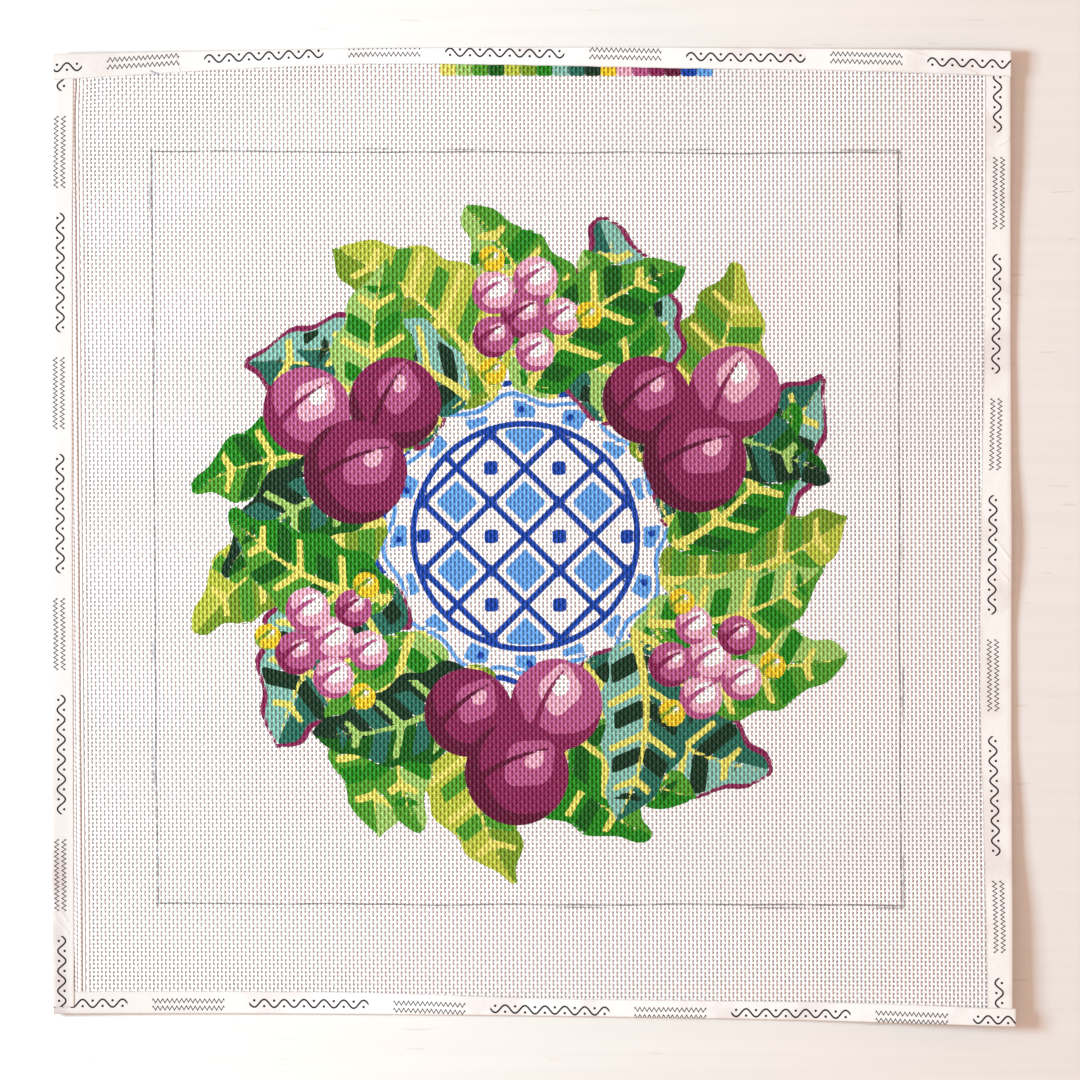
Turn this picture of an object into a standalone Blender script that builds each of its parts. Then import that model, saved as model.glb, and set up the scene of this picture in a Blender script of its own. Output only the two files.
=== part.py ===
"""A needlepoint canvas, lying flat, with its four cut edges bound in folded white tape.

The canvas is a square of stiff cotton mono canvas, 13 threads to the inch, cut
for a 14 inch design with a margin all round. A strip of one inch tape is folded
over each edge. The right strip went on first, then the bottom, the left and the
top one, so at each corner the later strip lies over the earlier one.

Metres. X is to the right, Y is up the picture and Z is up from the table. The
origin is on the table under the middle of the whole piece.
"""

import math

import bpy

# Driving dimensions of the canvas
CANVAS_THICK = 0.0006
FLAT_HALF = (0.120, 0.125)
TOP_LEFT = (-0.2314, 0.2335)
TOP_RIGHT = (0.2313, 0.2350)
BOTTOM_LEFT = (-0.2322, -0.2313)
BOTTOM_RIGHT = (0.2322, -0.2370)
LEFT_BOW = 0.0016
RIGHT_BOW = 0.0004
TOP_BOW = 0.0027
BOTTOM_HOLLOW = 0.0018
CANVAS_CELLS = 38

# How far the canvas stands off the table
EDGE_RISE = 0.0008
EDGE_RISE_WIDTH = 0.055
CORNER_REACH = 0.115
CORNER_LIFTS = {TOP_LEFT: 0.0040, TOP_RIGHT: 0.0016, BOTTOM_LEFT: 0.0019, BOTTOM_RIGHT: 0.0016}
RIGHT_LIFT_WIDTH = 0.110

# How far the right side lifts besides, at even steps from its lower corner to its upper one
RIGHT_LIFTS = (0.0046, 0.0046, 0.0022, 0.0004, 0.0002, 0.0023, 0.0007, 0.0003, 0.0012, 0.0022, 0.0026)

# Driving dimensions of the tape
TAPE_WIDTH = 0.0254
TAPE_THICK = 0.0003
GAP = 0.0003
FOLD_REACH = 0.00045
FOLD_STEPS = 4
TAPE_STATION = 0.0105
RAMP_START = 0.002
RAMP_LENGTH = 0.014
LEFT_TAPE_SHORT = 0.0030
RIGHT_TAPE_SHORT = 0.0005
BOTTOM_END_PROUD = 0.0012

# Width of each strip seen from above, at its start, middle and end
TOP_FACE = (0.0128, 0.0083, 0.0117)
BOTTOM_FACE = (0.0100, 0.0080, 0.0085)
LEFT_FACE = (0.0088, 0.0109, 0.0098)
RIGHT_FACE = (0.0124, 0.0130, 0.0135)

CANVAS_COLOUR = (0.88, 0.86, 0.83, 1.0)
TAPE_COLOUR = (0.93, 0.91, 0.89, 1.0)
CLOTH_ROUGHNESS = 0.9
SHARP_ANGLE = math.radians(40)


def lerp(a, b, share):
    """The value this share of the way from a to b."""
    return a + (b - a) * share


def smooth(share):
    """A smooth rise from 0 to 1 as share goes from 0 to 1."""
    share = min(max(share, 0.0), 1.0)
    return share * share * (3.0 - 2.0 * share)


def bow(share):
    """A shallow arch, 0 at both ends and 1 in the middle."""
    return 4.0 * share * (1.0 - share)


def edge_point(side, share):
    """A point on a cut edge: left and right edges run upwards, the others to the right."""
    if side == "left":
        x = lerp(BOTTOM_LEFT[0], TOP_LEFT[0], share) - LEFT_BOW * bow(share)
        return x, lerp(BOTTOM_LEFT[1], TOP_LEFT[1], share)
    if side == "right":
        x = lerp(BOTTOM_RIGHT[0], TOP_RIGHT[0], share) + RIGHT_BOW * bow(share)
        return x, lerp(BOTTOM_RIGHT[1], TOP_RIGHT[1], share)
    if side == "top":
        y = lerp(TOP_LEFT[1], TOP_RIGHT[1], share) + TOP_BOW * bow(share)
        return lerp(TOP_LEFT[0], TOP_RIGHT[0], share), y
    y = lerp(BOTTOM_LEFT[1], BOTTOM_RIGHT[1], share) + BOTTOM_HOLLOW * bow(share)
    return lerp(BOTTOM_LEFT[0], BOTTOM_RIGHT[0], share), y


def canvas_point(across, up):
    """A point of the cut square between its four edges, both shares from 0 to 1."""
    left, right = edge_point("left", up), edge_point("right", up)
    top, bottom = edge_point("top", across), edge_point("bottom", across)
    point = []
    for axis in (0, 1):
        between_sides = lerp(left[axis], right[axis], across)
        between_ends = lerp(bottom[axis], top[axis], up)
        low = lerp(BOTTOM_LEFT[axis], BOTTOM_RIGHT[axis], across)
        high = lerp(TOP_LEFT[axis], TOP_RIGHT[axis], across)
        point.append(between_sides + between_ends - lerp(low, high, up))
    return tuple(point)


def right_lift(y):
    """How far the right side lifts at this height up it, a smooth curve through its steps."""
    steps = len(RIGHT_LIFTS) - 1
    share = (y - BOTTOM_RIGHT[1]) / (TOP_RIGHT[1] - BOTTOM_RIGHT[1])
    place = min(max(share, 0.0), 1.0) * steps
    step = min(int(place), steps - 1)
    return lerp(RIGHT_LIFTS[step], RIGHT_LIFTS[step + 1], smooth(place - step))


def underside(x, y):
    """Height of the canvas's underside over the table: flat in the middle, lifted round the edge."""
    past_x = smooth((abs(x) - FLAT_HALF[0]) / EDGE_RISE_WIDTH)
    past_y = smooth((abs(y) - FLAT_HALF[1]) / EDGE_RISE_WIDTH)
    height = EDGE_RISE * (1.0 - (1.0 - past_x) * (1.0 - past_y))
    for corner, lift in CORNER_LIFTS.items():
        away = math.hypot(x - corner[0], y - corner[1])
        height += lift * max(0.0, 1.0 - away / CORNER_REACH) ** 2
    towards_right = smooth((x - FLAT_HALF[0]) / RIGHT_LIFT_WIDTH)
    return height + right_lift(y) * towards_right


def face_width(widths, share):
    """Width of the strip's upper side, a smooth curve through its start, middle and end."""
    start, middle, end = widths
    if share < 0.5:
        return lerp(start, middle, smooth(2.0 * share))
    return lerp(middle, end, smooth(2.0 * share - 1.0))


def wider_side(width_above):
    """How far in from the edge a folded strip reaches, on its upper or its lower side."""
    return max(width_above, TAPE_WIDTH - width_above)


def stations(length, under_start, under_end):
    """Distances along a strip, with one where it has climbed over a strip beneath each end."""
    first = under_start + RAMP_START
    last = length - under_end - RAMP_START
    if under_start:
        first += RAMP_LENGTH
    if under_end:
        last -= RAMP_LENGTH
    steps = round((last - first) / TAPE_STATION)
    middle = [lerp(first, last, k / steps) for k in range(steps + 1)]
    starts = [0.0, under_start + RAMP_START] if under_start else [0.0]
    ends = [length - under_end - RAMP_START, length] if under_end else [length]
    return starts + middle + ends


def clearance(along, length, under_start, under_end):
    """Gap between canvas and strip, wider where another strip lies between the two."""
    over = 0.0
    if under_start:
        over = max(over, 1.0 - max(0.0, along - under_start - RAMP_START) / RAMP_LENGTH)
    if under_end:
        from_end = length - along
        over = max(over, 1.0 - max(0.0, from_end - under_end - RAMP_START) / RAMP_LENGTH)
    return GAP + (TAPE_THICK + GAP) * max(0.0, over)


def cloth_material(name, colour):
    """A matt cloth finish in one colour."""
    material = bpy.data.materials.new(name)
    material.use_nodes = True
    shader = material.node_tree.nodes["Principled BSDF"]
    shader.inputs["Base Color"].default_value = colour
    shader.inputs["Roughness"].default_value = CLOTH_ROUGHNESS
    shader.inputs["Metallic"].default_value = 0.0
    return material


def grid_object(name, columns, rows, place, material, whole):
    """A grid primitive whose points are put where place(column, row) says, parented to the whole."""
    bpy.ops.mesh.primitive_grid_add(x_subdivisions=columns, y_subdivisions=rows, size=1.0)
    sheet = bpy.context.object
    sheet.name = name
    for vertex in sheet.data.vertices:
        column = round((vertex.co.x + 0.5) * columns)
        row = round((vertex.co.y + 0.5) * rows)
        vertex.co = place(column, row)
    sheet.data.name = name
    sheet.data.materials.append(material)
    for owner in list(sheet.users_collection):
        owner.objects.unlink(sheet)
    whole.users_collection[0].objects.link(sheet)
    sheet.parent = whole
    return sheet


def thicken(sheet, thickness):
    """Give an open sheet its thickness on the side its faces point to."""
    solid = sheet.modifiers.new("thickness", "SOLIDIFY")
    solid.thickness = thickness
    solid.offset = 1.0
    solid.use_even_offset = True
    sheet.data.shade_smooth()
    sheet.data.set_sharp_from_angle(angle=SHARP_ANGLE)


def make_canvas(whole):
    """The square of canvas, thickened upwards from its underside."""

    def place(column, row):
        x, y = canvas_point(column / CANVAS_CELLS, row / CANVAS_CELLS)
        return x, y, underside(x, y)

    material = cloth_material("canvas", CANVAS_COLOUR)
    canvas = grid_object("canvas", CANVAS_CELLS, CANVAS_CELLS, place, material, whole)
    thicken(canvas, CANVAS_THICK)


def section(width_above, clear):
    """The fold's section: (distance in from the edge, height over the canvas's mid-plane)."""
    half = CANVAS_THICK / 2 + clear
    width_below = TAPE_WIDTH - width_above
    points = [(width_below, -half), (width_below / 2, -half), (0.0, -half)]
    for step in range(1, FOLD_STEPS):
        turn = math.pi * step / FOLD_STEPS
        points.append((-FOLD_REACH * math.sin(turn), -half * math.cos(turn)))
    return points + [(0.0, half), (width_above / 2, half), (width_above, half)]


def make_tape(side, widths, under, proud, material, whole):
    """One strip folded over an edge, placed by the middle of that edge.

    under gives the widths of the strips it climbs over at its start and end,
    and proud how far each of its ends passes the canvas.
    """
    axis = 1 if side in ("left", "right") else 0
    start, end = edge_point(side, 0.0)[axis], edge_point(side, 1.0)[axis]
    edge_length = end - start
    length = edge_length + proud[0] + proud[1]
    along = stations(length, *under)
    outward = {"left": (-1, 0), "right": (1, 0), "top": (0, 1), "bottom": (0, -1)}[side]
    rows = len(section(widths[0], GAP))
    turned = side in ("left", "top")
    seat = edge_point(side, 0.5)

    def place(column, row):
        distance = along[len(along) - 1 - column] if turned else along[column]
        share = (distance - proud[0]) / edge_length
        edge = edge_point(side, share)
        clear = clearance(distance, length, *under)
        inwards, lift = section(face_width(widths, min(max(share, 0.0), 1.0)), clear)[row]
        on_canvas = [edge[k] - outward[k] * max(inwards, 0.0) for k in (0, 1)]
        x, y = (edge[k] - outward[k] * inwards - seat[k] for k in (0, 1))
        return x, y, underside(*on_canvas) + CANVAS_THICK / 2 + lift

    strip = grid_object(side + "_tape", len(along) - 1, rows - 1, place, material, whole)
    strip.location = (seat[0], seat[1], 0.0)
    thicken(strip, TAPE_THICK)


def main():
    """Clear the scene and make the canvas and its four strips."""
    for thing in list(bpy.data.objects):
        bpy.data.objects.remove(thing)
    collection = bpy.data.collections.new("needlepoint_canvas")
    bpy.context.scene.collection.children.link(collection)
    whole = bpy.data.objects.new("whole_canvas", None)
    collection.objects.link(whole)
    make_canvas(whole)
    material = cloth_material("tape", TAPE_COLOUR)
    past = FOLD_REACH + TAPE_THICK
    right_foot, right_head = wider_side(RIGHT_FACE[0]), wider_side(RIGHT_FACE[2])
    over_bottom = wider_side(BOTTOM_FACE[0]) - LEFT_TAPE_SHORT
    over_left = wider_side(LEFT_FACE[2]) + past
    make_tape("right", RIGHT_FACE, (0.0, 0.0), (-RIGHT_TAPE_SHORT, 0.0), material, whole)
    make_tape("bottom", BOTTOM_FACE, (0.0, right_foot), (0.0, past + BOTTOM_END_PROUD), material, whole)
    make_tape("left", LEFT_FACE, (over_bottom, 0.0), (-LEFT_TAPE_SHORT, 0.0), material, whole)
    make_tape("top", TOP_FACE, (over_left, right_head + past), (past, past), material, whole)


main()
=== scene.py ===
import math

import bpy
import numpy as np
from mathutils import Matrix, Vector


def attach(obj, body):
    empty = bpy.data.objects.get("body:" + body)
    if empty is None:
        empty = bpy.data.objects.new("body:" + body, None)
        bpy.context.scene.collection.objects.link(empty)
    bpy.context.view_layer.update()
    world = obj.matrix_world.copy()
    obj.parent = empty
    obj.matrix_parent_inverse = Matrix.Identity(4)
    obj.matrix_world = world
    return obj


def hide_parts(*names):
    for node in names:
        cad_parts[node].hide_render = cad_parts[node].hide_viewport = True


# The canvas as it lies on the table, loaded from its solid model. The camera looks straight down on it
# from high above, a little to the right of its middle and a little below, with a long lens.
VIEW_MIDDLE = (0.0037, -0.0018)
VIEW_WIDTH = 0.5249
CAMERA_HEIGHT = 2.4
SENSOR_WIDTH = 36.0

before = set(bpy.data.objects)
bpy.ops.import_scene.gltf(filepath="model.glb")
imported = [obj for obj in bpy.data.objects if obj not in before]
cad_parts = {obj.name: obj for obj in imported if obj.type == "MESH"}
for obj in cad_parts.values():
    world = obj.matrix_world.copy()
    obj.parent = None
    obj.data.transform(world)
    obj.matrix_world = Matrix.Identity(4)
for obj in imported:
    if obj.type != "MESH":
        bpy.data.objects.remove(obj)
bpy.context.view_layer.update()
scene = bpy.context.scene

camera_data = bpy.data.cameras.new("camera")
camera_data.sensor_width = SENSOR_WIDTH
camera_data.lens = SENSOR_WIDTH * CAMERA_HEIGHT / VIEW_WIDTH
camera = bpy.data.objects.new("camera", camera_data)
camera.location = (*VIEW_MIDDLE, CAMERA_HEIGHT)
scene.collection.objects.link(camera)
scene.camera = camera


# The cut square of canvas. It is stiff, so it lies flat in the middle and lifts a few millimetres at its
# corners and along its right side. Its four edges were cut by hand and are not quite straight or square.
FLAT_HALF = (0.120, 0.125)
TOP_LEFT = (-0.2314, 0.2335)
TOP_RIGHT = (0.2313, 0.2350)
BOTTOM_LEFT = (-0.2322, -0.2313)
BOTTOM_RIGHT = (0.2322, -0.2370)
EDGE_RISE = 0.0008
EDGE_RISE_WIDTH = 0.055
CORNER_REACH = 0.115
CORNER_LIFTS = {TOP_LEFT: 0.0040, TOP_RIGHT: 0.0016, BOTTOM_LEFT: 0.0019, BOTTOM_RIGHT: 0.0016}
RIGHT_LIFT_WIDTH = 0.110

# How far the right side lifts besides, at even steps from its lower corner to its upper one
RIGHT_LIFTS = (0.0046, 0.0046, 0.0022, 0.0004, 0.0002, 0.0023, 0.0007, 0.0003, 0.0012, 0.0022, 0.0026)

# Each cut edge: the corners that it joins, the axis across it, and how far it bows in its middle
SIDES = {
    "left": (BOTTOM_LEFT, TOP_LEFT, 0, -0.0016),
    "right": (BOTTOM_RIGHT, TOP_RIGHT, 0, 0.0004),
    "bottom": (BOTTOM_LEFT, BOTTOM_RIGHT, 1, 0.0018),
    "top": (TOP_LEFT, TOP_RIGHT, 1, 0.0027),
}


def lerp(a, b, share):
    """The value this share of the way from a to b."""
    return a + (b - a) * share


def smooth(share):
    """A smooth rise from 0 to 1 as share goes from 0 to 1."""
    share = np.clip(share, 0.0, 1.0)
    return share * share * (3.0 - 2.0 * share)


def arch(share):
    """A shallow arch, 0 at both ends and 1 in the middle."""
    return 4.0 * share * (1.0 - share)


def edge_at(side, place):
    """Where a cut edge is on the axis across it, at a place on the axis along it."""
    low, high, axis, bow = SIDES[side]
    share = (place - low[1 - axis]) / (high[1 - axis] - low[1 - axis])
    return lerp(low[axis], high[axis], share) + bow * arch(share)


def right_lift(y):
    """How far the right side lifts at this height up it, a smooth curve through its steps."""
    lifts = np.array(RIGHT_LIFTS)
    share = (y - BOTTOM_RIGHT[1]) / (TOP_RIGHT[1] - BOTTOM_RIGHT[1])
    place = np.clip(share, 0.0, 1.0) * (len(lifts) - 1)
    step = np.minimum(np.floor(place).astype(int), len(lifts) - 2)
    return lerp(lifts[step], lifts[step + 1], smooth(place - step))


def underside(x, y):
    """Height of the canvas's underside over the table."""
    past_x = smooth((abs(x) - FLAT_HALF[0]) / EDGE_RISE_WIDTH)
    past_y = smooth((abs(y) - FLAT_HALF[1]) / EDGE_RISE_WIDTH)
    height = EDGE_RISE * (1.0 - (1.0 - past_x) * (1.0 - past_y))
    for corner, lift in CORNER_LIFTS.items():
        away = np.hypot(x - corner[0], y - corner[1])
        height = height + lift * np.maximum(0.0, 1.0 - away / CORNER_REACH) ** 2
    towards_right = smooth((x - FLAT_HALF[0]) / RIGHT_LIFT_WIDTH)
    return height + right_lift(y) * towards_right


# The cloth: stiff cotton mono canvas, thirteen single threads to the inch each way, warps over and under
# wefts in turn. It is made in six bands of full width, and is hidden under the tape round its edge.
PITCH = 0.00195
FIRST_WARP, WARPS = -26, 240
FIRST_WEFT, WEFTS = -29, 242
BANDS = 6
WARP_WIDTH = 0.00137
WEFT_WIDTH = 0.00135
THREAD_DEPTH = 0.00039
CRIMP = 0.00018
WANDER = 0.00010
WANDER_CELLS = 0.83
SWELL = 0.16
SWELL_CELLS = 0.61
SEEN_WARPS = (-22, 208)
SEEN_WEFTS = (-26, 210)
HIDDEN_STEP = 6
WARPS_OVER = 0.00006
MID_HEIGHT = 0.00048

# The selvedge: its last warp, how much wider and fuller its warps are, how much wider the two beside it
# are, and over how many warps it turns from level, and from full, to the plain weave
SELVEDGE_WARP = -20
SELVEDGE_SPREAD = 2.00
SELVEDGE_FULL = 0.90
BESIDE_SELVEDGE = 1.42
SELVEDGE_LEVEL = 3
SELVEDGE_FADE = 2

# Corners of the drawn box, 186 warps wide and 187 wefts high, that all the threads follow
BOX_WARPS, BOX_WEFTS = 186, 187
BOX_TOP_LEFT = (-0.18487, 0.18701)
BOX_TOP_RIGHT = (0.17758, 0.18604)
BOX_BOTTOM_LEFT = (-0.18191, -0.17851)
BOX_BOTTOM_RIGHT = (0.17919, -0.17914)

# The threads are dragged aside where the top left corner was handled
DRAGGED_CORNER = (-0.2227, 0.2218)
DRAG_REACH = 0.028
DRAG = (0.0010, -0.0022)

# How far the tape covers the canvas along each side, at seven even steps upwards or to the right
LEFT_COVER = (0.0097, 0.0102, 0.0103, 0.0098, 0.0096, 0.0089, 0.0090)
RIGHT_COVER = (0.0115, 0.0130, 0.0152, 0.0148, 0.0128, 0.0117, 0.0117)
BOTTOM_COVER = (0.0104, 0.0104, 0.0102, 0.0080, 0.0081, 0.0089, 0.0082)
TOP_COVER = (0.0125, 0.0089, 0.0067, 0.0082, 0.0099, 0.0102, 0.0123)
COVER_SOFTENED = 0.05


class Wire:
    """A socket of a node tree. Sums on it add Math nodes, so a pattern is written as a formula."""

    def __init__(self, tree, socket):
        self.tree = tree
        self.socket = socket

    def math(self, operation, *others):
        return node(self.tree, "ShaderNodeMath", {"operation": operation}, (self, *others))

    def between(self, low, high):
        return self.math("MAXIMUM", low).math("MINIMUM", high)

    def __add__(self, other):
        return self.math("ADD", other)

    def __sub__(self, other):
        return self.math("SUBTRACT", other)

    def __rsub__(self, other):
        return node(self.tree, "ShaderNodeMath", {"operation": "SUBTRACT"}, (other, self))

    def __mul__(self, other):
        return self.math("MULTIPLY", other)

    def __truediv__(self, other):
        return self.math("DIVIDE", other)

    __radd__ = __add__
    __rmul__ = __mul__


def node(tree, kind, settings=None, sockets=(), output=0):
    """A node of any kind: its settings come first, then the value or link of each socket."""
    made = tree.nodes.new(kind)
    for name, value in (settings or {}).items():
        setattr(made, name, value)
    for key, value in sockets.items() if isinstance(sockets, dict) else enumerate(sockets):
        for one in value if isinstance(value, list) else [value]:
            if isinstance(one, Wire):
                tree.links.new(one.socket, made.inputs[key])
            else:
                made.inputs[key].default_value = one
    return Wire(tree, made.outputs[output])


def vector(tree, x=0.0, y=0.0, z=0.0):
    """Three values joined into one vector."""
    return node(tree, "ShaderNodeCombineXYZ", {}, (x, y, z))


def parts_of(tree, joined, count=2):
    """The first few values of a vector."""
    return [node(tree, "ShaderNodeSeparateXYZ", {}, {"Vector": joined}, k) for k in range(count)]


def stored(tree, geometry, name, value, kind="FLOAT"):
    """The same geometry with a value kept on each of its points."""
    return node(tree, "GeometryNodeStoreNamedAttribute", {"data_type": kind, "domain": "POINT"},
                {"Geometry": geometry, "Name": name, "Value": value})


def parallel_threads(tree, size, warps):
    """Threads that run one way, up and down in turn over the ones that they cross."""
    run_named, count_named = ("First Weft", "Wefts") if warps else ("First Warp", "Warps")
    across_named, across_count = ("First Warp", "Warps") if warps else ("First Weft", "Wefts")
    first_along, count_along = size[run_named], size[count_named]
    pitch = size["Pitch"]

    def line_of(count, axis, start):
        return node(tree, "GeometryNodeMeshLine", {}, {
            "Count": count,
            "Start Location": vector(tree, **{axis: start}),
            "Offset": vector(tree, **{axis: pitch}),
        })

    run = line_of(count_along + 2, "y" if warps else "x", (first_along - 1) * pitch)
    places = line_of(size[across_count], "x" if warps else "y", size[across_named] * pitch)
    run = node(tree, "GeometryNodeMeshToCurve", {}, {"Mesh": run})
    threads = node(tree, "GeometryNodeInstanceOnPoints", {}, {"Points": places, "Instance": run})
    threads = node(tree, "GeometryNodeRealizeInstances", {}, {"Geometry": threads})

    # A thread ends half way between two crossings, where it is level
    x, y = parts_of(tree, node(tree, "GeometryNodeInputPosition"))
    along = ((y if warps else x) / pitch).between(first_along - 0.5, first_along + count_along - 0.5)
    across = (x if warps else y) / pitch
    warp_place, weft_place = (across, along) if warps else (along, across)
    threads = stored(tree, threads, "crossing", vector(tree, warp_place, weft_place), "FLOAT_VECTOR")
    threads = stored(tree, threads, "warp", 1.0 if warps else 0.0)

    # Under the tape a thread is drawn straighter, with only a few points, warps above and wefts below
    kept = node(tree, "GeometryNodeInputNamedAttribute", {"data_type": "FLOAT_VECTOR"}, {"Name": "crossing"})
    u, v = parts_of(tree, kept)
    hidden = None
    for place, (first, last) in ((u, SEEN_WARPS), (v, SEEN_WEFTS)):
        before, after = place.math("LESS_THAN", first - 0.1), place.math("GREATER_THAN", last + 0.1)
        outside = before.math("MAXIMUM", after)
        hidden = hidden.math("MAXIMUM", outside) if hidden else outside
    spare = (v if warps else u).math("FLOORED_MODULO", HIDDEN_STEP).math("GREATER_THAN", 0.5)
    at_end = node(tree, "GeometryNodeCurveEndpointSelection")
    threads = node(tree, "GeometryNodeDeleteGeometry", {"domain": "POINT"},
                   {"Geometry": threads, "Selection": hidden * spare * (1 - at_end)})

    wave = ((u + v) * math.pi).math("COSINE")
    selvedge = ((SELVEDGE_WARP + SELVEDGE_LEVEL - u) / SELVEDGE_LEVEL).between(0.0, 1.0)
    flattened = hidden.math("MAXIMUM", selvedge)
    wave = (wave + (1 - wave) * flattened) * size["Crimp"]
    height = wave + size["Warps Over"] if warps else 0 - wave - size["Warps Over"]
    drift = node(tree, "ShaderNodeTexNoise", {}, {"Vector": kept, "Scale": WANDER_CELLS, "Detail": 1.0}, 1)
    drift_x, drift_y = (part - 0.5 for part in parts_of(tree, drift))
    wander = size["Wander"]
    laid = vector(tree, u * pitch + drift_x * wander, v * pitch + drift_y * wander, height)
    threads = node(tree, "GeometryNodeSetPosition", {}, {"Geometry": threads, "Position": laid})
    threads = node(tree, "GeometryNodeSetCurveNormal", {"mode": "Z_UP"}, {"Curve": threads})

    # The section is a flattened lozenge, shaded round
    section = node(tree, "GeometryNodeCurvePrimitiveCircle", {"mode": "RADIUS"},
                   {"Resolution": 4, "Radius": 1.0})
    corner = parts_of(tree, node(tree, "GeometryNodeInputPosition"))
    for name, share in zip(("across", "height"), corner):
        section = stored(tree, section, name, share)
    width = size["Warp Width" if warps else "Weft Width"]
    section = node(tree, "GeometryNodeTransform", {},
                   {"Geometry": section, "Scale": vector(tree, width / 2, size["Thread Depth"] / 2, 1.0)})
    uneven = node(tree, "ShaderNodeTexNoise", {}, {"Vector": kept, "Scale": SWELL_CELLS, "Detail": 1.0}) - 0.5
    return node(tree, "GeometryNodeCurveToMesh", {}, {
        "Curve": threads, "Profile Curve": section, "Scale": uneven * size["Swell"] + 1, "Fill Caps": True,
    })


WEAVE_SIZES = {
    "First Warp": FIRST_WARP,
    "Warps": WARPS,
    "First Weft": FIRST_WEFT,
    "Wefts": WEFTS,
    "Pitch": PITCH,
    "Warp Width": WARP_WIDTH,
    "Weft Width": WEFT_WIDTH,
    "Thread Depth": THREAD_DEPTH,
    "Crimp": CRIMP,
    "Warps Over": WARPS_OVER,
    "Wander": WANDER,
    "Swell": SWELL,
    "Cotton": None,
}
KINDS = {int: "NodeSocketInt", float: "NodeSocketFloat", type(None): "NodeSocketMaterial"}
weave = bpy.data.node_groups.new("plain_weave", "GeometryNodeTree")
weave.interface.new_socket(name="Cloth", in_out="OUTPUT", socket_type="NodeSocketGeometry")
WEAVE_INPUTS = {
    name: weave.interface.new_socket(name=name, in_out="INPUT", socket_type=KINDS[type(value)]).identifier
    for name, value in WEAVE_SIZES.items()
}
given = weave.nodes.new("NodeGroupInput")
size = {name: Wire(weave, given.outputs[name]) for name in WEAVE_SIZES}
both_ways = [parallel_threads(weave, size, True), parallel_threads(weave, size, False)]
cloth = node(weave, "GeometryNodeJoinGeometry", {}, (both_ways,))
cloth = node(weave, "GeometryNodeRealizeInstances", {}, {"Geometry": cloth})
cloth = node(weave, "GeometryNodeSetMaterial", {}, {"Geometry": cloth, "Material": size["Cotton"]})
weave.links.new(cloth.socket, weave.nodes.new("NodeGroupOutput").inputs[0])


def tape_cover(cover, share):
    """How far the tape reaches in from an edge, its corners softened between the steps."""
    steps = np.linspace(0.0, 1.0, len(cover))
    return sum(np.interp(share + k * COVER_SOFTENED, steps, cover) for k in (-1, 0, 1)) / 3


def on_grain(u, v):
    """Where a place in the weave is on the table, counted in threads from the box's first ones."""
    across, up = (u + 0.5) / BOX_WARPS, (v + 0.5) / BOX_WEFTS
    place = []
    for axis in (0, 1):
        low = lerp(BOX_BOTTOM_LEFT[axis], BOX_BOTTOM_RIGHT[axis], across)
        high = lerp(BOX_TOP_LEFT[axis], BOX_TOP_RIGHT[axis], across)
        place.append(lerp(low, high, up))
    away = np.hypot(place[0] - DRAGGED_CORNER[0], place[1] - DRAGGED_CORNER[1])
    dragged = np.maximum(0.0, 1.0 - away / DRAG_REACH) ** 2
    return place[0] + DRAG[0] * dragged, place[1] + DRAG[1] * dragged


TAPE_SPARE = 0.0008
BEYOND = {
    "left": (LEFT_COVER, FIRST_WARP - 0.9, 1),
    "right": (RIGHT_COVER, FIRST_WARP + WARPS - 0.1, -1),
    "bottom": (BOTTOM_COVER, FIRST_WEFT - 0.9, 1),
    "top": (TOP_COVER, FIRST_WEFT + WEFTS - 0.1, -1),
}


def drawn_in(place, side, edge, share, outermost):
    """A coordinate with what lies under one tape drawn together, so that it ends inside the cut edge."""
    cover, _, sign = BEYOND[side]
    inner = edge + sign * tape_cover(cover, share)
    pull = (abs(inner - edge) - TAPE_SPARE) / abs(inner - outermost)
    return np.where((inner - place) * sign > 0, inner - (inner - place) * pull, place)


def within_outline(u, v):
    """The same place with the threads drawn together under the tape."""
    x, y = on_grain(u, v)
    share = np.clip((y - BOTTOM_LEFT[1]) / (TOP_LEFT[1] - BOTTOM_LEFT[1]), 0.0, 1.0)
    for side in ("left", "right"):
        x = drawn_in(x, side, edge_at(side, y), share, on_grain(BEYOND[side][1], v)[0])
    share = np.clip((x - BOTTOM_LEFT[0]) / (BOTTOM_RIGHT[0] - BOTTOM_LEFT[0]), 0.0, 1.0)
    for side in ("bottom", "top"):
        y = drawn_in(y, side, edge_at(side, x), share, on_grain(u, BEYOND[side][1])[1])
    return x, y


def values_of(mesh, name, wide=1):
    """A named attribute of a mesh as an array."""
    values = np.empty(len(mesh.attributes[name].data) * wide, np.float32)
    mesh.attributes[name].data.foreach_get("vector" if wide == 3 else "value", values)
    return values.reshape(-1, wide).astype(float) if wide > 1 else values.astype(float)


def keep_values(mesh, name, values):
    """Store an array on a mesh's points as a named attribute."""
    wide = values.ndim > 1
    made = mesh.attributes.new(name, "FLOAT_VECTOR" if wide else "FLOAT", "POINT")
    made.data.foreach_set("vector" if wide else "value", values.astype(np.float32).ravel())


def plain_object(name, mesh):
    """A finished mesh as an object at the origin."""
    made = bpy.data.objects.new(name, mesh)
    scene.collection.objects.link(made)
    return made


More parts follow.
